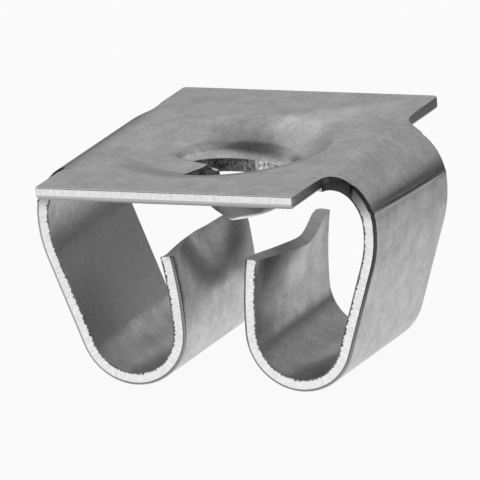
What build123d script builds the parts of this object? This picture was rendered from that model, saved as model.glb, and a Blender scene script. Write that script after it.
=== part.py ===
from build123d import *
import math
import os

os.makedirs("parts", exist_ok=True)

# U clip speed nut, folded from one strip of spring steel. All sizes are in millimetres.
# A flat rectangular plate carries the screw. From the middle of each end a narrower leg bends down
# over a wide shoulder, runs in and down as a leaning wall, turns up again round a foot, and ends in
# an inner tab under the plate. The metal round the hole is slit and pressed down into one turn of a
# helix, so that its edge works as a single thread. Each tab is cupped to clear the screw.
# X runs from leg to leg, Y across the strip, and +Z points up from the feet to the plate.

# The sheet and the plate
sheet = 0.76
plate_length = 16.0
plate_width = 20.9
plate_corner = 0.3
upper_edge_round = 0.08
lower_edge_round = 0.24

# The legs, with radii at the middle of the sheet and turns in degrees
leg_width = 10.4
notch_radius = 1.2
shoulder_setback = 0.8
shoulder_radius = 2.97
shoulder_turn = 88.0
flank_radius = 6.52
flank_turn = 21.5
wall_length = 5.47
foot_radius = 2.96
foot_turn = 160.4

# The tabs and the cups pressed into them
tab_length = 4.38
tab_radius = 23.7
cup_depth = 1.05
cup_height = 3.3
cup_reach = 4.6
cup_nose = 0.8
cup_curve = 1.4
cup_dip = 0.1
cup_stations = 6
trim_reach = 2.0

# The thread impression: depths are from the plate's top, angles are from +X towards +Y
hole_radius = 2.85
rim_depth = 3.05
thread_lead = 2.6
lead_curve = 1.3
corner_drop = 0.43
corner_share = 0.1
dish_depth = 1.9
dish_curve = 1.55
dish_radius = 6.6
dish_shift = 1.2
dish_shift_angle = 246.0
lip_width = 0.42
lip_rise = 0.16
riser_width = 0.28
riser_rise = 0.26
slit_heading = 246.9
slit_offset = 1.19
slit_width = 0.45
slit_reach = 5.7
lead_fade = 1.1
turn_stations = 12
slope_step = 0.3

half_length = plate_length / 2
half_leg = leg_width / 2
half_root = half_leg + notch_radius
bend_start = half_length - shoulder_setback
mid_sheet = -sheet / 2
lip_end = hole_radius + lip_width
riser_end = lip_end + riser_width
lead_reach = slit_reach - slope_step
sideways_shift = abs(dish_shift * math.cos(math.radians(dish_shift_angle)))
opening_radius = (dish_radius + bend_start - sideways_shift) / 2


def smooth(u):
    """Goes from 0 to 1 with no slope at either end."""
    u = min(max(u, 0.0), 1.0)
    return u * u * (3 - 2 * u)


def plate():
    """The flat plate, with its blanked edge rolled over more below than above.
    Between the notches it ends where the bends start."""
    body = Box(plate_length, plate_width, sheet, align=(Align.CENTER, Align.CENTER, Align.MAX))
    body = fillet(body.edges().filter_by(Axis.Z), plate_corner)
    body = fillet(body.edges().group_by(Axis.Z)[-1], upper_edge_round)
    body = fillet(body.edges().group_by(Axis.Z)[0], lower_edge_round)
    past_bend = half_length - bend_start + sheet
    for side in (-1, 1):
        body -= Pos(side * (bend_start + past_bend / 2), 0) * Box(past_bend, 2 * half_root, 3 * sheet)
    return body


def strip_side(offset):
    """One face of the right leg seen from the front, as a chain of tangent curves."""
    lead_in = Line((bend_start - notch_radius, mid_sheet + offset), (bend_start, mid_sheet + offset))
    shoulder = JernArc(lead_in @ 1, lead_in % 1, shoulder_radius + offset, -shoulder_turn)
    flank = JernArc(shoulder @ 1, shoulder % 1, flank_radius + offset, -flank_turn)
    wall = Line(flank @ 1, (flank @ 1) + (flank % 1) * wall_length)
    foot = JernArc(wall @ 1, wall % 1, foot_radius + offset, -foot_turn)
    return [lead_in, shoulder, flank, wall, foot]


def leg_section():
    """The leg's section up to the end of the foot, in the XZ plane."""
    outer = strip_side(sheet / 2)
    inner = strip_side(-sheet / 2)
    ends = [Line(outer[0] @ 0, inner[0] @ 0), Line(outer[-1] @ 1, inner[-1] @ 1)]
    return Plane.XZ * make_face(outer + inner + ends)


def foot_end():
    """The middle of the sheet where the foot ends, and the way it points there."""
    outer = strip_side(sheet / 2)[-1]
    inner = strip_side(-sheet / 2)[-1]
    middle = ((outer @ 1) + (inner @ 1)) / 2
    return middle, outer % 1


def cup_profile(y):
    """The cup's share of its full depth across the tab: a vee with a round nose."""
    rise = math.hypot(min(abs(y), cup_reach), cup_nose) - cup_nose
    return 1 - rise / (math.hypot(cup_reach, cup_nose) - cup_nose)


def tab_frame(along):
    """Middle of the plain tab at a length along it, the way it runs there and the way to its outer side."""
    start, heading = foot_end()
    turn = along / tab_radius
    right = Vector(heading.Y, -heading.X)
    middle = start + heading * (tab_radius * math.sin(turn)) + right * (tab_radius * (1 - math.cos(turn)))
    return middle, heading * math.cos(turn) + right * math.sin(turn), right * math.cos(turn) - heading * math.sin(turn)


def cup_shift(along, y):
    """How far the cup moves the sheet outward at a length along the tab and a place across it."""
    up_cup = max(0.0, (along - (tab_length - cup_height)) / cup_height)
    return cup_depth * up_cup ** cup_curve * cup_profile(y)


def tab_point(along, y, side):
    """A point on one face of the tab: along its length, across it, and side -1 or 1 of the middle."""
    middle, _, outward = tab_frame(along)
    point = middle + outward * (cup_shift(along, y) + side * sheet / 2)
    return Vector(point.X, y, point.Y)


def tab_ring(along):
    """The tab's section at one place along its length, as a closed wire."""
    steps = [half_leg * k / 5 for k in range(-5, 6)]
    far = [tab_point(along, y, -1) for y in steps]
    near = [tab_point(along, y, 1) for y in steps]
    edges = [Edge.make_spline(far), Edge.make_spline(near)]
    edges += [Edge.make_line(far[0], near[0]), Edge.make_line(far[-1], near[-1])]
    return Wire(edges)


def trim_section(y):
    """What lies past the tab's end at one place across it. The end stays square to the leaning sheet."""
    middle, forward, outward = tab_frame(tab_length - cup_dip * cup_profile(y))
    middle += outward * cup_shift(tab_length, y)
    lean = cup_curve * cup_shift(tab_length, y) / cup_height
    across = (outward - forward * lean) * trim_reach
    corners = [middle - across, middle + across, middle + across + forward * trim_reach]
    corners.append(middle - across + forward * trim_reach)
    return Wire.make_polygon([Vector(c.X, y, c.Y) for c in corners], close=True)


def tab():
    """The inner tab, cupped outward at mid-width, with its end trimmed square to the sheet."""
    plain = tab_length - cup_height
    step = cup_height / cup_stations
    blank = Solid.make_loft([tab_ring(0.0)] + [tab_ring(plain + step * k) for k in range(cup_stations + 2)])
    width = half_leg + sheet
    ends = [trim_section(width * k / 4) for k in range(-4, 5)]
    return blank - Solid.make_loft(ends)


def leg():
    """The right leg, with rounded notches where it leaves the plate."""
    section = leg_section()
    narrow = extrude(section, half_leg, both=True)
    wide = extrude(section, half_root, both=True)
    flare = Rectangle(notch_radius * 3, 2 * half_root)
    flare = Pos(half_length - notch_radius / 2, 0) * flare
    for side in (-1, 1):
        flare -= Pos(half_length + notch_radius, side * half_root) * Circle(notch_radius)
    root = wide & Pos(0, 0, -2 * sheet - notch_radius) * extrude(flare, 3 * sheet + notch_radius)
    return narrow + root + tab()


def rim(share):
    """Depth of the hole's upper edge after a share of the turn from the slit's low side."""
    bent_corner = corner_drop * smooth((share - 1 + corner_share) / corner_share)
    return rim_depth - thread_lead * share ** lead_curve + bent_corner


def dish_edge(share):
    """Radius at which the dish runs out into the plate. Its circle lies a little in front of the screw."""
    bearing = slit_heading + 360 * share + math.degrees(math.asin(slit_offset / dish_radius))
    swing = math.radians(bearing - dish_shift_angle)
    return dish_shift * math.cos(swing) + math.sqrt(dish_radius ** 2 - (dish_shift * math.sin(swing)) ** 2)


def cone_radii(share):
    """Four radii in equal steps from the riser to where the slit ends, drawn in as the dish's edge is."""
    scale = (dish_edge(share) - riser_end) / (dish_edge(0) - riser_end)
    step = (slit_reach - riser_end) * scale / 4
    return [riser_end + step * k for k in range(1, 5)]


def dish_height(radius, share):
    """Height of the pressed sheet's upper face: a lip round the hole, a steep riser and a cone."""
    lip = lip_rise * min(radius - hole_radius, lip_width) / lip_width
    riser = riser_rise * min(max(radius - lip_end, 0.0), riser_width) / riser_width
    out = (radius - riser_end) / (dish_edge(share) - riser_end)
    cone = (1 - min(max(out, 0.0), 1.0)) ** dish_curve
    depth = dish_depth * ((1 - lip_rise - riser_rise) * cone + (lip_rise - lip) + (riser_rise - riser))
    inward = max(0.0, (lead_reach - radius) / (lead_reach - hole_radius))
    return -depth - (rim(share) - dish_depth) * inward ** lead_fade


def dish_slope(radius, share):
    """Rise of the pressed sheet for each millimetre outward, taken over a short way."""
    near = max(radius - slope_step, hole_radius)
    far = radius + slope_step
    if radius >= dish_edge(share):
        return 0.0
    return (dish_height(far, share) - dish_height(near, share)) / (far - near)


def dish_point(radius, share, under):
    """A point on the section at a share of the turn, at a distance under the upper face."""
    inside = min(radius - hole_radius, 0.0)
    slope = dish_slope(radius - inside, share)
    lean = math.hypot(1, slope)
    height = dish_height(radius - inside, share) + inside * slope
    along = math.sqrt(radius * radius - slit_offset * slit_offset)
    return Vector(along + under * slope / lean, slit_offset, height - under / lean)


def dish_side(radii, share, under):
    """One face of the pressed sheet in the section's plane, through the given radii."""
    points = [dish_point(radius, share, under) for radius in radii]
    ways = [Vector(1, 0, dish_slope(max(radius, hole_radius), share)) for radius in (radii[0], radii[-1])]
    return Edge.make_spline(points, tangents=ways)


def dish_ring(share):
    """The pressed sheet's section at a share of the turn. Its plane passes the axis at the slit's offset."""
    start = hole_radius - sheet
    cone = cone_radii(share)
    upper = [start, hole_radius, lip_end, riser_end] + cone
    lower = [start, hole_radius, lip_end] + cone
    outer = [cone[-1], (cone[-1] + dish_edge(share)) / 2, dish_edge(share)]
    top = [dish_side(upper, share, 0), dish_side(outer, share, 0)]
    low = [dish_side(lower, share, sheet), dish_side(outer, share, sheet)]
    rim_top = Vector(dish_radius + dish_shift + sheet, slit_offset, 0)
    rim_low = rim_top - Vector(0, 0, sheet)
    ends = [
        Edge.make_line(top[1] @ 1, rim_top),
        Edge.make_line(rim_top, rim_low),
        Edge.make_line(rim_low, low[1] @ 1),
        Edge.make_line(low[0] @ 0, top[0] @ 0),
    ]
    return Wire(top + ends + low).rotate(Axis.Z, slit_heading + 360 * share)


def dish_opening(height):
    """The round region of the plate that the pressed sheet takes up."""
    centre = Vector(dish_shift, 0).rotate(Axis.Z, dish_shift_angle)
    return Pos(centre) * Cylinder(opening_radius, height)


def dish():
    """The impression's sheet, lofted round the screw in two halves that meet at the slit."""
    half = turn_stations // 2
    hole = Cylinder(hole_radius, 6 * rim_depth)
    cut = slit()
    parts = []
    for first in (0, half):
        rings = [dish_ring((first + k) / turn_stations) for k in range(half + 1)]
        turned = Solid.make_loft(rings) & dish_opening(6 * rim_depth)
        parts.append(turned - hole - cut)
    return parts


def slit():
    """The wedge that parts the helix's low end from its high end."""
    start = hole_radius - sheet
    reach = math.sqrt(slit_reach * slit_reach - slit_offset * slit_offset)
    corners = [(reach, slit_offset), (start, slit_offset), (start, slit_offset + slit_width)]
    wedge = Rot(0, 0, slit_heading) * make_face(Polyline(*corners, close=True))
    return Pos(0, 0, -2 * rim_depth) * extrude(wedge, 3 * rim_depth)


def clip():
    """The whole clip, standing on its feet with the origin under the middle of the plate."""
    right = leg()
    body = plate() + right + right.mirror(Plane.YZ)
    body -= dish_opening(4 * sheet)
    for part in dish():
        body += part
    return Pos(0, 0, -body.bounding_box().min.Z) * body


export_step(clip(), "parts/spring_clip.step")
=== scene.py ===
import math
import bpy
import bmesh
from mathutils import Matrix, Vector


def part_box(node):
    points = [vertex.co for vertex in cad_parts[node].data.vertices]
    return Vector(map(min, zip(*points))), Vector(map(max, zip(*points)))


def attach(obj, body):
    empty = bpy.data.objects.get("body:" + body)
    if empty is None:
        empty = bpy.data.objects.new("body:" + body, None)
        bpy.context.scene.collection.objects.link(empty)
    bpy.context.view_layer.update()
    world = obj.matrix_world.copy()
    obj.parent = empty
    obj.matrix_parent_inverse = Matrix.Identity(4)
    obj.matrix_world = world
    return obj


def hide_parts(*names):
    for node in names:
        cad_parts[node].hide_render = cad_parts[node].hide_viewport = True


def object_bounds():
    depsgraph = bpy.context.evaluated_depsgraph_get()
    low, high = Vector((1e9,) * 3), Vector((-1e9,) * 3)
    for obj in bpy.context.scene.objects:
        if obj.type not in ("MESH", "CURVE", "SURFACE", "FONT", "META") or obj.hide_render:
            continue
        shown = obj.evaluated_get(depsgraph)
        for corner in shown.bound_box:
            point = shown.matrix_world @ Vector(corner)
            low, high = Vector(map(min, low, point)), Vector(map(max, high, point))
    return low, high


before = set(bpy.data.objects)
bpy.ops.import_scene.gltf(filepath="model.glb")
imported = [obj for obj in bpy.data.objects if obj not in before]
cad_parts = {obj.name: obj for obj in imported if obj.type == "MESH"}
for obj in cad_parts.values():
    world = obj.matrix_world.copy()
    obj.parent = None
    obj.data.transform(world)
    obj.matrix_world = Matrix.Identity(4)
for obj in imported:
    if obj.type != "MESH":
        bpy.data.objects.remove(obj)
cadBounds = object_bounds()
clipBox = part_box("spring_clip")
plateTop = clipBox[1].z
mm = 0.001
print("frame loaded, plate top at", round(plateTop / mm, 2), "mm")


def newMaterial(name):
    material = bpy.data.materials.new(name)
    material.use_nodes = True
    material.node_tree.nodes.clear()
    return material, material.node_tree


def addNode(tree, kind, place, **values):
    node = tree.nodes.new(kind)
    node.location = place
    for key, value in values.items():
        setattr(node, key, value)
    return node


# camera: the photograph's direction, a long lens and a slight roll
view = {
    "azimuth": 25.228,
    "elevation": 15.686,
    "roll": -5.075,
    "widthInView": 480 / 17.587 * mm,  # 480 pixels, at 17.587 to the millimetre
    "distance": 1.0,
    "centreRight": 0.161 * mm,  # the picture's middle, from the middle of the plate's top
    "centreUp": -5.618 * mm,
    "sensorWidth": 36,
    "clipSpan": (0.05, 20),
}


def placeCamera():
    az = math.radians(view["azimuth"])
    el = math.radians(view["elevation"])
    roll = math.radians(view["roll"])
    right = Vector((math.cos(az), math.sin(az), 0))
    back = Vector((math.sin(az) * math.cos(el), -math.cos(az) * math.cos(el), math.sin(el)))
    up = back.cross(right)
    turnedRight = right * math.cos(roll) + up * math.sin(roll)
    turnedUp = up * math.cos(roll) - right * math.sin(roll)
    data = bpy.data.cameras.new("photoCamera")
    data.sensor_width = view["sensorWidth"]
    data.lens = view["sensorWidth"] * view["distance"] / view["widthInView"]
    data.clip_start, data.clip_end = view["clipSpan"]
    camera = bpy.data.objects.new("photoCamera", data)
    bpy.context.collection.objects.link(camera)
    centre = Vector((0, 0, plateTop))
    centre = centre + turnedRight * view["centreRight"] + turnedUp * view["centreUp"]
    turn = Matrix((turnedRight, turnedUp, back)).transposed()
    camera.matrix_world = Matrix.Translation(centre + back * view["distance"]) @ turn.to_4x4()
    bpy.context.scene.camera = camera


placeCamera()
print("camera placed")


# the clip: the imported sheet, with the outer corners of its legs rolled over by the blanking tool
springClip = {
    "sheet": 0.76 * mm,
    "legHalf": 5.2 * mm,  # half the width of a leg
    "plateHalf": (8.0 * mm, 10.45 * mm),
    "plateDepth": 1.1,  # in sheets: how far down the plate's own faces are looked for
    "edgeMargin": 0.3 * mm,
    "notchMargin": 0.1 * mm,
    "undersideMargin": 0.05 * mm,
    "notchCentre": (9.2 * mm, 6.4 * mm),
    "notchRadius": 1.2 * mm,
    "bendStart": 7.2 * mm,
    "shoulderFrom": 9.6 * mm,
    "stripFrom": 7 * mm,  # the legs lie beyond this X or below this Z
    "stripBelow": 8.5 * mm,
    "tabEndHeights": (4 * mm, 8 * mm),
    "loopMiddle": (6.2 * mm, 8.4 * mm),  # a point inside a leg's loop, X and Z
    "pathStart": 100,  # degrees round that point, between the shoulder and the tab
    "holeRadius": 2.85 * mm,
    "holeDepth": 5 * mm,
    "slitReach": 5.8 * mm,
    "slitBearings": (-112, -78),
    "leastFace": 0.004 * mm ** 2,  # smaller faces on the plate keep the plain skin
    "rolloverWidth": 0.2 * mm,
    "rolloverSegments": 3,
    "smoothAngle": 40,
    "mergeReach": 1e-7,
    "quadAngles": (8, 60),
    # how far off its place a corner may lie and still count
    "near": 0.006 * mm,
    "close": 0.01 * mm,
    "onCut": 0.02 * mm,
}


def selectOnly(piece):
    bpy.ops.object.select_all(action="DESELECT")
    piece.select_set(True)
    bpy.context.view_layer.objects.active = piece


def copySheet():
    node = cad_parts["spring_clip"]
    piece = bpy.data.objects.new("springClip", node.data.copy())
    bpy.context.collection.objects.link(piece)
    selectOnly(piece)
    bpy.ops.object.mode_set(mode="EDIT")
    bpy.ops.mesh.select_all(action="SELECT")
    bpy.ops.mesh.remove_doubles(threshold=springClip["mergeReach"])
    bpy.ops.mesh.customdata_custom_splitnormals_clear()
    flat, square = (math.radians(a) for a in springClip["quadAngles"])
    bpy.ops.mesh.tris_convert_to_quads(face_threshold=flat, shape_threshold=square)
    bpy.ops.mesh.select_all(action="DESELECT")
    bpy.ops.object.mode_set(mode="OBJECT")
    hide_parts("spring_clip")
    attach(piece, "root")
    return piece


def onLegSide(face):
    off = [abs(abs(v.co.y) - springClip["legHalf"]) for v in face.verts]
    return abs(face.normal.y) > 0.9 and max(off) < springClip["near"]


def onNotch(face):
    cx, cy = springClip["notchCentre"]
    reach = [math.hypot(abs(v.co.x) - cx, abs(v.co.y) - cy) for v in face.verts]
    onArc = all(abs(r - springClip["notchRadius"]) < springClip["onCut"] for r in reach)
    return abs(face.normal.z) < 0.6 and onArc


def facesOut(face):
    middle = face.calc_center_median()
    lx, lz = springClip["loopMiddle"]
    side = 1 if middle.x > 0 else -1
    return face.normal.x * (middle.x - side * lx) + face.normal.z * (middle.z - lz) > 0


def onTabEnd(face):
    low, high = springClip["tabEndHeights"]
    return abs(face.normal.z) > 0.65 and low < face.calc_center_median().z < high


def isSkin(face):
    return not onLegSide(face) and not onNotch(face) and abs(face.normal.y) < 0.5


def outerEdges(mesh):
    found = []
    for edge in mesh.edges:
        cut = [f for f in edge.link_faces if onLegSide(f)]
        skin = [f for f in edge.link_faces if isSkin(f)]
        if len(cut) == 1 and len(skin) == 1 and facesOut(skin[0]) and not onTabEnd(skin[0]):
            found.append(edge)
    return found


def turnRound(spot):
    lx, lz = springClip["loopMiddle"]
    turn = math.atan2(spot.z - lz, spot.x - lx) - math.radians(springClip["pathStart"])
    return turn % (2 * math.pi)


# the strip's outer line from the shoulder to the tab, in X and Z
def stripPath(mesh):
    spots = {v for e in outerEdges(mesh) for v in e.verts if v.co.x > 0 and v.co.y < 0}
    ordered = sorted(spots, key=lambda v: -turnRound(v.co))
    return [Vector((v.co.x, v.co.z)) for v in ordered]


# how far a spot lies off the path, and how far along it
def placeOnPath(path, lengths, spot):
    best = (1.0, 0.0)
    for start, end, length in zip(path, path[1:], lengths):
        way = end - start
        share = min(max((spot - start).dot(way) / way.length_squared, 0), 1)
        away = (start + way * share - spot).length
        if away < best[0]:
            best = (away, length + way.length * share)
    return best


# the line that the bending tool pressed across the outside of each shoulder
pressLine = {
    "shoulderMiddle": (7.2 * mm, -3.35 * mm),  # X, and Z from the plate's top
    "shoulderRadius": 3.35 * mm,
    "turnFront": 74,  # degrees round the shoulder, at the leg's front side and at its back side
    "turnBack": 82,
    "rise": 0.07 * mm,
    # mm down from the ridge, share of the rise
    "profile": [(-0.14, 0), (0, 1), (0.15, 0.3), (1.3, 0)],
    "above": 0.14 * mm,
    "burnishedHighlightWidth": 0.15 * mm,  # the burnished line just under the ridge, with a painted highlight
    "below": 1.3 * mm,
    "cutsAbove": (2.2, 1),  # shares of above and of below
    "cutsBelow": (0.3, 0.65, 1),
    "shade": 0.42,  # painted shade on the skin over the ridge
    "paintedShadeReach": 0.55 * mm,
}


def shoulderSpot(turn, y, side):
    cx, cz = pressLine["shoulderMiddle"]
    r, a = pressLine["shoulderRadius"], math.radians(turn)
    return Vector((side * (cx + r * math.sin(a)), y, plateTop + cz + r * math.cos(a)))


# the slanting plane that holds the line: a spot on it, the way down and the way out
def shoulderPlane(side):
    half = springClip["legHalf"]
    front = shoulderSpot(pressLine["turnFront"], -half, side)
    back = shoulderSpot(pressLine["turnBack"], half, side)
    middleTurn = math.radians((pressLine["turnFront"] + pressLine["turnBack"]) / 2)
    out = Vector((side * math.sin(middleTurn), 0, math.cos(middleTurn)))
    down = (back - front).cross(out).normalized()
    if down.z > 0:
        down.negate()
    return front, down, out


def onShoulder(face, side):
    return side * face.calc_center_median().x > springClip["shoulderFrom"] and facesOut(face)


def onShoulderSkin(face, side):
    return onShoulder(face, side) and abs(face.normal.y) < 0.5


# a value read between stops
def shareAt(stops, along):
    for (low, first), (high, second) in zip(stops, stops[1:]):
        if low <= along <= high:
            return first + (second - first) * (along - low) / (high - low)
    return 1.0


def pressShoulder(piece, side):
    front, down, out = shoulderPlane(side)
    above, below = pressLine["above"], pressLine["below"]
    offsets = [-pressLine["paintedShadeReach"]] + [-share * above for share in pressLine["cutsAbove"]]
    offsets += [0, pressLine["burnishedHighlightWidth"]] + [share * below for share in pressLine["cutsBelow"]]
    selectOnly(piece)
    bpy.ops.object.mode_set(mode="EDIT")
    for offset in offsets:
        mesh = bmesh.from_edit_mesh(piece.data)
        for face in mesh.faces:
            face.select_set(onShoulder(face, side))
        bmesh.update_edit_mesh(piece.data)
        bpy.ops.mesh.bisect(plane_co=front + down * offset, plane_no=down)
        bpy.ops.mesh.select_all(action="DESELECT")
    mesh = bmesh.from_edit_mesh(piece.data)
    for v in mesh.verts:
        depth = (v.co - front).dot(down)
        if -above < depth < below and any(onShoulderSkin(f, side) for f in v.link_faces):
            v.co += out * pressLine["rise"] * shareAt(pressLine["profile"], depth / mm)
            v.co.x = side * min(side * v.co.x, cadBounds[1][0])  # never past the solid's box
    bmesh.update_edit_mesh(piece.data)
    bpy.ops.object.mode_set(mode="OBJECT")


def rollCorners(piece):
    bpy.ops.object.mode_set(mode="EDIT")
    bpy.ops.mesh.select_mode(type="EDGE")
    mesh = bmesh.from_edit_mesh(piece.data)
    path = stripPath(mesh)
    for edge in outerEdges(mesh):
        edge.select_set(True)
    bmesh.update_edit_mesh(piece.data)
    bpy.ops.mesh.bevel(
        offset=springClip["rolloverWidth"],
        segments=springClip["rolloverSegments"],
        affect="EDGES",
        clamp_overlap=True,
    )
    bpy.ops.mesh.select_all(action="DESELECT")
    bpy.ops.object.mode_set(mode="OBJECT")
    return path


def isRolled(face):
    half = springClip["legHalf"]
    low = half - springClip["rolloverWidth"] - springClip["near"]
    side = 1 if face.verts[0].co.y > 0 else -1
    middle = face.calc_center_median()
    onStrip = abs(middle.x) > springClip["stripFrom"] or middle.z < springClip["stripBelow"]
    return onStrip and all(low < side * v.co.y < half + springClip["near"] for v in face.verts)


def inPlate(face):
    lowest = plateTop - springClip["plateDepth"] * springClip["sheet"]
    return all(v.co.z > lowest for v in face.verts)


def isPlateEdge(face):
    hx, hy = springClip["plateHalf"]
    margin = springClip["edgeMargin"]
    notchLine = springClip["notchCentre"][1] - springClip["notchMargin"]
    spots = [v.co for v in face.verts]
    atEnd = all(abs(c.y) > hy - margin for c in spots)
    atSide = all(abs(c.x) > hx - margin and abs(c.y) > notchLine for c in spots)
    upright = abs(face.normal.z) < 0.3 or (atEnd and 0.3 <= face.normal.z < 0.98)
    return inPlate(face) and (atEnd or atSide) and upright


def isPlateUnderside(face):
    hx, hy = springClip["plateHalf"]
    margin = springClip["edgeMargin"]
    notchLine = springClip["notchCentre"][1] - springClip["undersideMargin"]
    spots = [v.co for v in face.verts]
    rim = all(abs(c.y) > hy - margin or abs(c.x) > hx - margin for c in spots)
    clear = all(abs(c.y) >= notchLine for c in spots)
    return inPlate(face) and rim and clear and -0.98 < face.normal.z < -0.3


def isHoleWall(face):
    reach = [math.hypot(v.co.x, v.co.y) for v in face.verts]
    high = all(v.co.z > plateTop - springClip["holeDepth"] for v in face.verts)
    onWall = all(abs(r - springClip["holeRadius"]) < springClip["onCut"] for r in reach)
    middle = face.calc_center_median()
    start, end = springClip["slitBearings"]
    onBearing = start < math.degrees(math.atan2(middle.y, middle.x)) < end
    onSlit = max(reach) < springClip["slitReach"] and abs(face.normal.z) < 0.05 and onBearing
    return high and abs(face.normal.z) < 0.6 and (onWall or onSlit)


# what each face is, the painted shade on its cut metal, the painted light and shade on its skin,
# and where its corners lie
markings = {
    # painted shade on the cut faces: darkest in the notches, lighter on the plate's rim, the tab
    # ends and the hole's wall, and fading down the legs' sides
    "notchPaintedShade": 1.0,
    "notchTurn": 35,  # the notch's painted shade is full after this turn from the plate's end
    "notchLowPaintedLight": 0.1,
    "legCutPaintedShade": 0.9,
    "notchFade": 2.3 * mm,  # the notch's painted shade runs this far down the leg's side
    "plateEndPaintedShade": 0.7,
    "tabEndPaintedShade": 0.45,
    "holePaintedShade": 0.72,
    "holeUnshadedBearings": (30, 97),  # degrees; the hole's wall keeps its bright cut metal between them and has painted shade elsewhere
    "plateBandStretch": 1.48,
    "undersideDrawn": 0.045,
    "evenDepth": 0.4,  # the same all over a tab's end, which has no torn side
    "kinds": {"leg": 0, "tabEnd": 5, "hole": 7, "plate": 9},  # keeps the edges' patterns apart
    # the skin's painted light and shade by the distance in mm along the strip, from the shoulder
    # to the tab
    "loopPaintedShades": [
        (0, 0.7), (3, 0.85), (5, 1.15), (7, 1.3), (10, 1.3),
        (13, 0.72), (20, 0.72), (23, 0.62), (27, 0.62),
    ],
    "outerPaintedShades": [(0, 1), (3, 1), (3.5, 0.72), (8, 0.8), (12, 0.96), (27, 1)],
    # painted shade on the right leg's rolled corner, painted light on the left leg's
    "rightCornerPaintedShades": [(0, 0.2), (6, 0.26), (9, 0.5), (12, 1), (27, 1)],
    "leftCornerPaintedLight": [(0, 1.5), (11, 1.5), (14, 1), (27, 0.8)],
    # painted shade and painted light patches on the tabs: middle and reach in mm, and gain
    "tabPaintedPatches": [
        ((3.6, -4.4, 6.4), 1.9, -0.45),
        ((3.5, 0.1, 5.6), 1.8, 0.4),
        ((-2.7, 3.7, 5.5), 2.2, -0.5),
    ],
    # painted shade under the boss, a painted highlight along its lower rim and painted light on
    # the lip
    "bossPaintedShade": 0.33,
    "bossReach": 5.5 * mm,
    "bossDepth": 4.6 * mm,
    "rimPaintedHighlight": 2.2,
    "lipPaintedLight": 1.45,
    "lipReach": 3.35 * mm,
    "lipDepth": 2.2 * mm,
    "paintedSheenMiddle": (1.8 * mm, 3.9 * mm),  # painted sheen on the dish's slope
    "paintedSheenReach": 2.6 * mm,
    "paintedSheenGain": 0.5,
}


# painted shade in a notch, deepening with the turn into it and lighter towards its bottom
def notchPaintedShadeAt(face, spot):
    heights = [v.co.z for v in face.verts]
    low = (max(heights) - spot.z) / (max(heights) - min(heights))
    cx, cy = springClip["notchCentre"]
    turn = math.degrees(math.atan2(cy - abs(spot.y), cx - abs(spot.x)))
    begun = min(max(turn / markings["notchTurn"], 0), 1)
    end = markings["plateEndPaintedShade"]
    return end + (markings["notchPaintedShade"] - end) * begun - markings["notchLowPaintedLight"] * low * begun


# painted shade on a cut face, by place: on the plate's rim only on faces that face along X, on the
# hole's wall outside the listed bearings
def cutPaintedShadeAt(face, spot, along):
    if onNotch(face):
        return notchPaintedShadeAt(face, spot)
    if onLegSide(face):
        return markings["legCutPaintedShade"] * max(0.0, 1 - (along / markings["notchFade"]) ** 2)
    if onTabEnd(face):
        return markings["tabEndPaintedShade"]
    if isPlateEdge(face):
        return markings["plateEndPaintedShade"] if abs(face.normal.x) > 0.7 else 0.0
    low, high = markings["holeUnshadedBearings"]
    bearing = math.degrees(math.atan2(spot.y, spot.x))
    return 0.0 if low < bearing < high else markings["holePaintedShade"]


def fadeFrom(middle, spot, reach):
    away = (spot - middle).length / reach
    return max(0, 1 - away * away)


# painted light and shade on a leg's skin, by place along the strip
def paintedLegShade(face, spot, path, lengths):
    along = placeOnPath(path, lengths, Vector((abs(spot.x), spot.z)))[1] / mm
    if isRolled(face):
        return shareAt(markings["rightCornerPaintedShades" if spot.x > 0 else "leftCornerPaintedLight"], along)
    out = facesOut(face)
    shade = shareAt(markings["outerPaintedShades" if out else "loopPaintedShades"], along)
    front, down = shoulderPlane(1 if spot.x > 0 else -1)[:2]
    above = -(spot - front).dot(down)
    reach = pressLine["paintedShadeReach"]
    # painted shade on the outer skin just over the ridge
    if out and -springClip["close"] < above < reach and abs(spot.x) > springClip["shoulderFrom"]:
        shade *= pressLine["shade"] + (1 - pressLine["shade"]) * max(above, 0) / reach
    # painted shade and painted light patches on the tabs
    for middle, touchReach, gain in markings["tabPaintedPatches"]:
        shade *= 1 + gain * fadeFrom(Vector(middle), spot / mm, touchReach)
    return shade


# painted light and shade on the skin, by place
def paintedSkinShade(face, spot, path, lengths):
    depth = plateTop - spot.z
    reach = math.hypot(spot.x, spot.y)
    inWidth = abs(spot.y) < springClip["legHalf"] + springClip["close"]
    onLoop = depth > markings["bossDepth"] or abs(spot.x) > springClip["bendStart"]
    if onLoop and inWidth and (isRolled(face) or abs(face.normal.y) < 0.7):
        return paintedLegShade(face, spot, path, lengths)
    if onLoop or face.calc_area() < springClip["leastFace"]:
        return 1.0
    # painted shade under the boss, with a painted highlight at its rim
    if face.normal.z < 0.1 and reach < markings["bossReach"] and depth > springClip["sheet"]:
        onRim = reach < springClip["holeRadius"] + springClip["onCut"]
        return markings["rimPaintedHighlight" if onRim else "bossPaintedShade"]
    # painted light on the lip
    if face.normal.z > 0.5 and reach < markings["lipReach"] and depth < markings["lipDepth"]:
        return markings["lipPaintedLight"]
    # painted sheen on the dish's slope
    if face.normal.z > 0.3:
        paintedSheen = fadeFrom(Vector(markings["paintedSheenMiddle"]), Vector(spot[:2]), markings["paintedSheenReach"])
        return 1 + markings["paintedSheenGain"] * paintedSheen
    return 1.0


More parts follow.
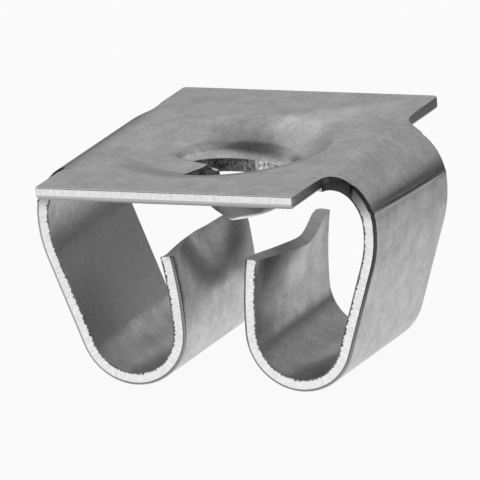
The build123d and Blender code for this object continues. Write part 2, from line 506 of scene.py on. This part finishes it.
# along the edge in mm, share of the way into the sheet, and the kind of edge
def edgePlace(face, spot, path, lengths):
    sheet, kinds = springClip["sheet"], markings["kinds"]
    if onLegSide(face) or isRolled(face):
        away, along = placeOnPath(path, lengths, Vector((abs(spot.x), spot.z)))
        return Vector((along / mm, away / sheet, kinds["leg"]))
    if onTabEnd(face):
        return Vector((spot.y / mm, markings["evenDepth"], kinds["tabEnd"]))
    if isHoleWall(face):
        around = math.atan2(spot.y, spot.x) * springClip["holeRadius"] / mm
        return Vector((around, (plateTop - spot.z) / mm, kinds["hole"]))
    down = (plateTop - spot.z) / sheet * markings["plateBandStretch"]
    if isPlateUnderside(face):
        down = markings["undersideDrawn"]
    return Vector(((spot.x + spot.y) / mm, down, kinds["plate"]))


# the burnished strip under the ridge, which carries a painted highlight
def isBurnishedHighlight(face):
    middle = face.calc_center_median()
    side = 1 if middle.x > 0 else -1
    front, down = shoulderPlane(side)[:2]
    return onShoulderSkin(face, side) and 0 < (middle - front).dot(down) < pressLine["burnishedHighlightWidth"]


def isCut(face):
    return any(test(face) for test in (onLegSide, isPlateEdge, onNotch, onTabEnd, isHoleWall))


def markFaces(piece, path):
    lengths = [0.0]
    for start, end in zip(path, path[1:]):
        lengths.append(lengths[-1] + (end - start).length)
    mesh = bmesh.new()
    mesh.from_mesh(piece.data)
    faceLayers = mesh.faces.layers.float
    cutLayer, rollLayer, tornLayer, burnishedHighlightLayer = (
        faceLayers.new(name) for name in ("cutFace", "rolledOver", "tornHole", "burnishedHighlight")
    )
    cutShadeLayer = mesh.loops.layers.float.new("cutPaintedShade")
    paintedShadeLayer = mesh.loops.layers.float.new("paintedSkinShade")
    placeLayer = mesh.loops.layers.float_vector.new("edgePlace")
    for face in mesh.faces:
        cut = isCut(face)
        face[cutLayer] = float(cut)
        face[rollLayer] = float(not cut and (isRolled(face) or isPlateUnderside(face)))
        face[tornLayer] = float(isHoleWall(face))
        face[burnishedHighlightLayer] = float(isBurnishedHighlight(face))
        for loop in face.loops:
            place = edgePlace(face, loop.vert.co, path, lengths)
            loop[placeLayer] = place
            # per corner: the painted shade of cut faces, then the painted light and shade of the
            # skin
            loop[cutShadeLayer] = cutPaintedShadeAt(face, loop.vert.co, place.x * mm)
            loop[paintedShadeLayer] = paintedSkinShade(face, loop.vert.co, path, lengths)
    mesh.to_mesh(piece.data)
    mesh.free()


def smoothSheet(piece):
    selectOnly(piece)
    bpy.ops.object.shade_smooth_by_angle(angle=math.radians(springClip["smoothAngle"]))
    bpy.ops.object.modifier_add(type="WEIGHTED_NORMAL")
    piece.modifiers[-1].keep_sharp = True
    bpy.ops.object.modifier_apply(modifier=piece.modifiers[-1].name)


# the low corner of the thread sits a little higher, and the plate eases down beside the notches
fitting = {
    "tipFrom": 2.0 * mm,
    "tipTo": 4.6 * mm,
    "tipShare": 0.87,
    "tipReach": 5.4 * mm,
    "easeTo": 7.3 * mm,
    "easeDepth": 1 * mm,
}


def raiseTip(piece):
    start = fitting["tipFrom"]
    for v in piece.data.vertices:
        depth = plateTop - v.co.z
        near = math.hypot(v.co.x, v.co.y) < fitting["tipReach"]
        if near and start < depth < fitting["tipTo"]:
            v.co.z = plateTop - start - (depth - start) * fitting["tipShare"]


def easeNotches(piece):
    selectOnly(piece)
    radius = pressLine["shoulderRadius"]
    notchLine = springClip["notchCentre"][1]
    close = springClip["close"]
    easeTo, bendStart = fitting["easeTo"], springClip["bendStart"]
    lowest = plateTop - fitting["easeDepth"]
    bpy.ops.object.mode_set(mode="EDIT")
    for side in (-1, 1):
        across = (0, side * easeTo, 0), (0, 1, 0)
        along = (side * bendStart, 0, 0), (1, 0, 0)
        for spot, way in (across, along):
            mesh = bmesh.from_edit_mesh(piece.data)
            for face in mesh.faces:
                outer = all(abs(v.co.y) > notchLine - close for v in face.verts)
                face.select_set(outer and face.calc_center_median().z > lowest)
            bmesh.update_edit_mesh(piece.data)
            bpy.ops.mesh.bisect(plane_co=spot, plane_no=way)
            bpy.ops.mesh.select_all(action="DESELECT")
    mesh = bmesh.from_edit_mesh(piece.data)
    for v in mesh.verts:
        past = abs(v.co.x) - bendStart
        onLine = abs(abs(v.co.y) - notchLine) < close
        onPlate = any(min(abs(w.co.y) for w in f.verts) > notchLine - close for f in v.link_faces)
        eased = plateTop - (radius - math.sqrt(radius ** 2 - max(past, 0) ** 2))
        if onLine and onPlate and past > 0 and v.co.z > eased:
            v.co.z = eased
    bmesh.update_edit_mesh(piece.data)
    bpy.ops.object.mode_set(mode="OBJECT")


clip = copySheet()
raiseTip(clip)
easeNotches(clip)
for side in (1, -1):
    pressShoulder(clip, side)
markFaces(clip, rollCorners(clip))
smoothSheet(clip)
print("sheet copied,", len(clip.data.polygons), "faces")


def newGroup(name, inputs, outputs):
    group = bpy.data.node_groups.new(name, "ShaderNodeTree")
    for label, kind, value in inputs:
        socket = group.interface.new_socket(name=label, in_out="INPUT", socket_type=kind)
        if value is not None:
            socket.default_value = value
    for label, kind in outputs:
        group.interface.new_socket(name=label, in_out="OUTPUT", socket_type=kind)
    source = addNode(group, "NodeGroupInput", (-1000, 0))
    sink = addNode(group, "NodeGroupOutput", (800, 0))
    return group, source, sink


def noiseOf(tree, place, vector, scale, detail, roughness=0.5):
    noise = addNode(tree, "ShaderNodeTexNoise", place)
    noise.inputs["Scale"].default_value = scale
    noise.inputs["Detail"].default_value = detail
    noise.inputs["Roughness"].default_value = roughness
    tree.links.new(vector, noise.inputs["Vector"])
    return noise.outputs["Fac"]


def rangeOf(tree, place, value, lowIn, highIn, lowOut, highOut):
    node = addNode(tree, "ShaderNodeMapRange", place)
    ends = {"From Min": lowIn, "From Max": highIn, "To Min": lowOut, "To Max": highOut}
    for label, number in ends.items():
        node.inputs[label].default_value = number
    tree.links.new(value, node.inputs["Value"])
    return node.outputs["Result"]


def mathOf(tree, place, operation, first, second):
    node = addNode(tree, "ShaderNodeMath", place, operation=operation)
    for socket, value in zip(node.inputs, (first, second)):
        if isinstance(value, (int, float)):
            socket.default_value = value
        else:
            tree.links.new(value, socket)
    return node.outputs[0]


def mixOf(tree, place, share, first, second):
    node = addNode(tree, "ShaderNodeMix", place, data_type="FLOAT")
    for label, value in (("Factor", share), ("A", first), ("B", second)):
        if isinstance(value, (int, float)):
            node.inputs[label].default_value = value
        else:
            tree.links.new(value, node.inputs[label])
    return node.outputs["Result"]


def stretched(tree, place, vector, scale):
    node = addNode(tree, "ShaderNodeMapping", place)
    node.inputs["Scale"].default_value = scale
    tree.links.new(vector, node.inputs["Vector"])
    return node.outputs["Vector"]


# the rolled skin of the sheet: soft blotches, a fine grain, small pits and faint drag marks
rolledSkin = {
    "blotchesPerMetre": 700,
    "blotchDetail": 6,
    "blotchRoughness": 0.68,
    "grainPerMetre": 4200,
    "pitsPerMetre": 2300,
    "dragStretch": (500, 4200, 1500),
    "greyRange": (0.43, 0.58),
    "roughRange": (0.28, 0.38),
    "noiseSpan": (0.3, 0.7),
    "dragSpan": (0.35, 0.65),
    "pitSpan": (0.66, 0.72),
    "grainGrey": 0.1,
    "pitGrey": 0.12,
    "dragGrey": 0.02,
}


def swing(amount):
    return 1 - amount, 1 + amount


def makeSkinGroup():
    look = rolledSkin
    outputs = [(label, "NodeSocketFloat") for label in ("Grey", "Roughness", "Height")]
    group, source, sink = newGroup("rolledSkin", [("Place", "NodeSocketVector", None)], outputs)
    place = source.outputs["Place"]
    fineness = look["blotchDetail"], look["blotchRoughness"]
    span = look["noiseSpan"]
    blotch = noiseOf(group, (-700, 300), place, look["blotchesPerMetre"], *fineness)
    grain = noiseOf(group, (-700, 0), place, look["grainPerMetre"], 2)
    pits = noiseOf(group, (-700, -300), place, look["pitsPerMetre"], 2)
    drawn = stretched(group, (-700, -500), place, look["dragStretch"])
    drag = noiseOf(group, (-500, -500), drawn, 1, 2)
    grey = rangeOf(group, (-400, 300), blotch, *span, *look["greyRange"])
    fine = rangeOf(group, (-400, 100), grain, *span, *swing(look["grainGrey"]))
    lines = rangeOf(group, (-400, -500), drag, *look["dragSpan"], *swing(look["dragGrey"]))
    pit = rangeOf(group, (-400, -300), pits, *look["pitSpan"], 0, 1)
    pitted = rangeOf(group, (0, 100), pit, 0, 1, 1, 1 - look["pitGrey"])
    grey = mathOf(group, (-100, 300), "MULTIPLY", grey, fine)
    grey = mathOf(group, (0, 300), "MULTIPLY", grey, lines)
    grey = mathOf(group, (200, 300), "MULTIPLY", grey, pitted)
    rough = rangeOf(group, (-100, -100), blotch, *span, *reversed(look["roughRange"]))
    height = mathOf(group, (-100, -300), "SUBTRACT", grain, pit)
    for label, value in (("Grey", grey), ("Roughness", rough), ("Height", height)):
        group.links.new(value, sink.inputs[label])
    return group


# a sheared edge: a bright burnished band, scored across, with torn metal along its inner side
shearedEdge = {
    "brightSpan": (0.75, 1.2),
    "bright": (0.74, 0.99),
    "tornSpan": (0.35, 0.65),
    "torn": (0.03, 0.25),
    "plateTorn": (0.46, 0.56),
    "noiseSpan": (0.3, 0.7),
    "grooveSpan": (0.38, 0.58),
    "grooveGrey": (0.1, 1.0),
    "tornFrom": 0.84,
    "tornBlend": 0.06,
    "tornWander": 0.12,
    "roughness": 0.36,
    # repeats per mm along the edge and per sheet into it, detail and roughness
    "scores": ((7, 1.2, 1), 3, 0.6),
    "speckle": ((9, 7, 1), 3, 0.65),
    "wander": ((6, 0.4, 1), 4, 0.75),
    "grooves": ((6, 3, 1), 4, 0.8),
}


def edgeNoise(group, height, vector, name):
    stretch, detail, roughness = shearedEdge[name]
    placed = stretched(group, (-700, height), vector, stretch)
    return noiseOf(group, (-500, height), placed, 1, detail, roughness)


def makeShearGroup():
    look = shearedEdge
    inputs = [("Place", "NodeSocketVector", None), ("Torn", "NodeSocketFloat", 0.0)]
    outputs = [("Grey", "NodeSocketFloat"), ("Height", "NodeSocketFloat")]
    group, source, sink = newGroup("shearedEdge", inputs, outputs)
    place = source.outputs["Place"]
    scores = edgeNoise(group, 300, place, "scores")
    speckle = edgeNoise(group, 100, place, "speckle")
    wander = edgeNoise(group, -100, place, "wander")
    grooves = edgeNoise(group, 500, place, "grooves")
    split = addNode(group, "ShaderNodeSeparateXYZ", (-700, -300))
    group.links.new(place, split.inputs[0])
    worked = mathOf(group, (-300, 300), "ADD", scores, speckle)
    bright = rangeOf(group, (-200, 300), worked, *look["brightSpan"], *look["bright"])
    torn = rangeOf(group, (-200, 100), speckle, *look["tornSpan"], *look["torn"])
    plateTorn = rangeOf(group, (-200, 0), speckle, *look["noiseSpan"], *look["plateTorn"])
    wide = look["tornWander"]
    shifted = rangeOf(group, (-300, -100), wander, *look["noiseSpan"], -wide, wide)
    plateKind = markings["kinds"]["plate"]
    onPlate = rangeOf(group, (-500, -500), split.outputs["Z"], plateKind - 1, plateKind, 0, 1)
    calm = mathOf(group, (-300, -500), "SUBTRACT", 1, onPlate)  # the plate's band is straight
    shift = mathOf(group, (-200, -400), "MULTIPLY", shifted, calm)
    depth = mathOf(group, (-200, -300), "ADD", split.outputs["Y"], shift)
    tornFrom = look["tornFrom"]
    share = rangeOf(group, (0, -300), depth, tornFrom, tornFrom + look["tornBlend"], 0, 1)
    torn = mixOf(group, (0, 100), onPlate, torn, plateTorn)
    grooved = rangeOf(group, (-200, 500), grooves, *look["grooveSpan"], *look["grooveGrey"])
    grey = mixOf(group, (200, 200), share, bright, torn)
    grey = mixOf(group, (400, 200), source.outputs["Torn"], grey, grooved)
    group.links.new(grey, sink.inputs["Grey"])
    height = mathOf(group, (200, 0), "SUBTRACT", worked, share)
    group.links.new(height, sink.inputs["Height"])
    return group


# the steel: skin, skin drawn over a corner, burnished line with a painted highlight, and sheared
# edge
springSteel = {
    "rolledOuter": 0.32,  # grey of the rolled corner at its outer side, then the darker grey at its inner side
    "rolledInner": 0.08,
    "rolledSpan": (0.09, 0.26),
    "rolledRoughness": 0.3,
    # a painted highlight on the burnished line
    "paintedHighlightGrey": 0.98,
    "burnishedRoughness": 0.3,
    "darkestCutShade": 0.03,
    "bump": 0.002 * mm,
    "cutBump": 0.008 * mm,
}


def attributeOf(tree, height, name, output="Fac"):
    node = addNode(tree, "ShaderNodeAttribute", (-900, height))
    node.attribute_name = name
    return node.outputs[output]


def makeSteel():
    look = springSteel
    material, tree = newMaterial("springSteel")
    shader = addNode(tree, "ShaderNodeBsdfPrincipled", (600, 0))
    out = addNode(tree, "ShaderNodeOutputMaterial", (900, 0))
    tree.links.new(shader.outputs["BSDF"], out.inputs["Surface"])
    shader.inputs["Metallic"].default_value = 1.0
    place = addNode(tree, "ShaderNodeTexCoord", (-900, 200))
    skin = addNode(tree, "ShaderNodeGroup", (-600, 200), node_tree=makeSkinGroup())
    tree.links.new(place.outputs["Object"], skin.inputs["Place"])
    onEdge = attributeOf(tree, -100, "edgePlace", "Vector")
    edge = addNode(tree, "ShaderNodeGroup", (-600, -100), node_tree=makeShearGroup())
    tree.links.new(onEdge, edge.inputs["Place"])
    tree.links.new(attributeOf(tree, -700, "tornHole"), edge.inputs["Torn"])
    across = addNode(tree, "ShaderNodeSeparateXYZ", (-700, -500))
    tree.links.new(onEdge, across.inputs[0])
    cut = attributeOf(tree, -300, "cutFace")
    rolled = attributeOf(tree, -500, "rolledOver")
    burnishedHighlight = attributeOf(tree, 700, "burnishedHighlight")
    shade = attributeOf(tree, 900, "paintedSkinShade")
    cutPaintedShade = attributeOf(tree, 500, "cutPaintedShade")
    # the skin's grey and the drawn grey are multiplied by the painted light and shade
    shaded = mathOf(tree, (-600, 800), "MULTIPLY", skin.outputs["Grey"], shade)
    # painted highlight along the burnished line
    bare = mixOf(tree, (-500, 600), burnishedHighlight, shaded, look["paintedHighlightGrey"])
    drawnEnds = look["rolledOuter"], look["rolledInner"]
    drawn = rangeOf(tree, (-500, -500), across.outputs["Y"], *look["rolledSpan"], *drawnEnds)
    drawn = mathOf(tree, (-400, -500), "MULTIPLY", drawn, shade)
    # painted shade on the cut faces
    cutShadeFactor = rangeOf(tree, (-300, 500), cutPaintedShade, 0, 1, 1, look["darkestCutShade"])
    sheared = mathOf(tree, (-200, 400), "MULTIPLY", edge.outputs["Grey"], cutShadeFactor)
    grey = mixOf(tree, (-300, 200), rolled, bare, drawn)
    grey = mixOf(tree, (-100, 200), cut, grey, sheared)
    colour = addNode(tree, "ShaderNodeCombineColor", (200, 200))
    for label in ("Red", "Green", "Blue"):
        tree.links.new(grey, colour.inputs[label])
    tree.links.new(colour.outputs[0], shader.inputs["Base Color"])
    rough = mixOf(tree, (-300, 0), rolled, skin.outputs["Roughness"], look["rolledRoughness"])
    rough = mixOf(tree, (-200, 0), burnishedHighlight, rough, look["burnishedRoughness"])
    rough = mixOf(tree, (-100, 0), cut, rough, shearedEdge["roughness"])
    tree.links.new(rough, shader.inputs["Roughness"])
    skinHeight = mathOf(tree, (-300, -200), "MULTIPLY", skin.outputs["Height"], look["bump"])
    edgeHeight = mathOf(tree, (-300, -400), "MULTIPLY", edge.outputs["Height"], look["cutBump"])
    bump = addNode(tree, "ShaderNodeBump", (300, -300))
    bump.inputs["Distance"].default_value = 1.0
    tree.links.new(mixOf(tree, (0, -300), cut, skinHeight, edgeHeight), bump.inputs["Height"])
    tree.links.new(bump.outputs["Normal"], shader.inputs["Normal"])
    return material


clip.material_slots[0].material = makeSteel()
print("clip dressed")


# floor and studio
studio = {
    "floorSize": 0.6,
    "floorColour": (0.85, 0.85, 0.85, 1),
    "floorShown": 0.93,  # share of the plain white that the camera and polished metal see
    "sheetRadius": 0.07,  # the white sheet under the clip, as the metal sees it
    "sheetFade": 0.05,
    "sheetLight": 1.0,
    "beyondLight": 0.12,
    "sheetMiddle": (-0.005, -0.052, 0),
    "frontSpan": (-0.55, -0.05),  # the side that the camera stands on is brighter
    "frontRise": (0.1, 0.38),
    "frontLight": (1.0, 0.1),
    # share of the way up the sky, and its light
    "skyStops": [(0.0, 0.04), (0.08, 0.08), (0.18, 0.6), (0.42, 0.56), (1.0, 0.4)],
    "topBoxPlace": (-0.15, 0.2, 0.35),
    "topBoxSize": (0.4, 0.4),
    "topBoxPower": 0.1,
}


def blendShaders(tree, share, first, second, outKind):
    mix = addNode(tree, "ShaderNodeMixShader", (0, 0))
    out = addNode(tree, outKind, (200, 0))
    tree.links.new(share, mix.inputs[0])
    tree.links.new(first.outputs[0], mix.inputs[1])
    tree.links.new(second.outputs[0], mix.inputs[2])
    tree.links.new(mix.outputs[0], out.inputs["Surface"])


def makeFloor():
    bpy.ops.object.select_all(action="DESELECT")
    bpy.ops.mesh.primitive_plane_add(size=studio["floorSize"], location=(0, 0, 0))
    floor = bpy.context.object
    floor.name = "studioFloor"
    material, tree = newMaterial("paleFloor")
    lit = addNode(tree, "ShaderNodeBsdfDiffuse", (-200, 100))
    lit.inputs["Color"].default_value = studio["floorColour"]
    glow = addNode(tree, "ShaderNodeEmission", (-200, -100))
    path = addNode(tree, "ShaderNodeLightPath", (-800, 300))
    place = addNode(tree, "ShaderNodeTexCoord", (-1000, -200))
    reach = addNode(tree, "ShaderNodeVectorMath", (-800, -200), operation="DISTANCE")
    reach.inputs[1].default_value = studio["sheetMiddle"]
    tree.links.new(place.outputs["Object"], reach.inputs[0])
    sheetEnds = studio["sheetRadius"], studio["sheetRadius"] + studio["sheetFade"]
    lights = studio["sheetLight"], studio["beyondLight"]
    fade = rangeOf(tree, (-600, -200), reach.outputs["Value"], *sheetEnds, *lights)
    camera = path.outputs["Is Camera Ray"]
    strength = mixOf(tree, (-400, -200), camera, fade, 1.0)
    tree.links.new(strength, glow.inputs["Strength"])
    shown = mathOf(tree, (-600, 400), "MULTIPLY", camera, studio["floorShown"])
    seen = mathOf(tree, (-400, 300), "MAXIMUM", shown, path.outputs["Is Glossy Ray"])
    blendShaders(tree, seen, lit, glow, "ShaderNodeOutputMaterial")
    floor.data.materials.append(material)


def makeWorld():
    world = bpy.data.worlds.new("studioWorld")
    bpy.context.scene.world = world
    world.use_nodes = True
    tree = world.node_tree
    tree.nodes.clear()
    path = addNode(tree, "ShaderNodeLightPath", (-600, 300))
    way = addNode(tree, "ShaderNodeTexCoord", (-1000, 0))
    split = addNode(tree, "ShaderNodeSeparateXYZ", (-800, 0))
    tree.links.new(way.outputs["Generated"], split.inputs[0])
    sky = addNode(tree, "ShaderNodeValToRGB", (-600, 0))
    rise = split.outputs["Z"]
    front = rangeOf(tree, (-600, -300), split.outputs["Y"], *studio["frontSpan"], 1, 0)
    frontLit = rangeOf(tree, (-600, -500), rise, *studio["frontRise"], *studio["frontLight"])
    stops = sky.color_ramp.elements
    while len(stops) < len(studio["skyStops"]):
        stops.new(0.5)
    for stop, (height, light) in zip(stops, studio["skyStops"]):
        stop.position = height
        stop.color = (light, light, light, 1)
    tree.links.new(rise, sky.inputs[0])
    ambient = addNode(tree, "ShaderNodeBackground", (-200, 100))
    lit = mixOf(tree, (-400, 0), front, sky.outputs["Color"], frontLit)
    tree.links.new(lit, ambient.inputs["Color"])
    seen = addNode(tree, "ShaderNodeBackground", (-200, -100))
    seen.inputs["Color"].default_value = (1, 1, 1, 1)
    blendShaders(tree, path.outputs["Is Camera Ray"], ambient, seen, "ShaderNodeOutputWorld")


def addSoftbox(name, place, size, power):
    data = bpy.data.lights.new(name, "AREA")
    data.shape = "RECTANGLE"
    data.size, data.size_y = size
    data.energy = power
    lamp = bpy.data.objects.new(name, data)
    bpy.context.collection.objects.link(lamp)
    lamp.location = place
    lamp.rotation_euler = (-Vector(place)).to_track_quat("-Z", "Y").to_euler()


makeFloor()
makeWorld()
addSoftbox("topBox", studio["topBoxPlace"], studio["topBoxSize"], studio["topBoxPower"])
print("studio built")

bpy.context.scene.view_settings.view_transform = "Standard"
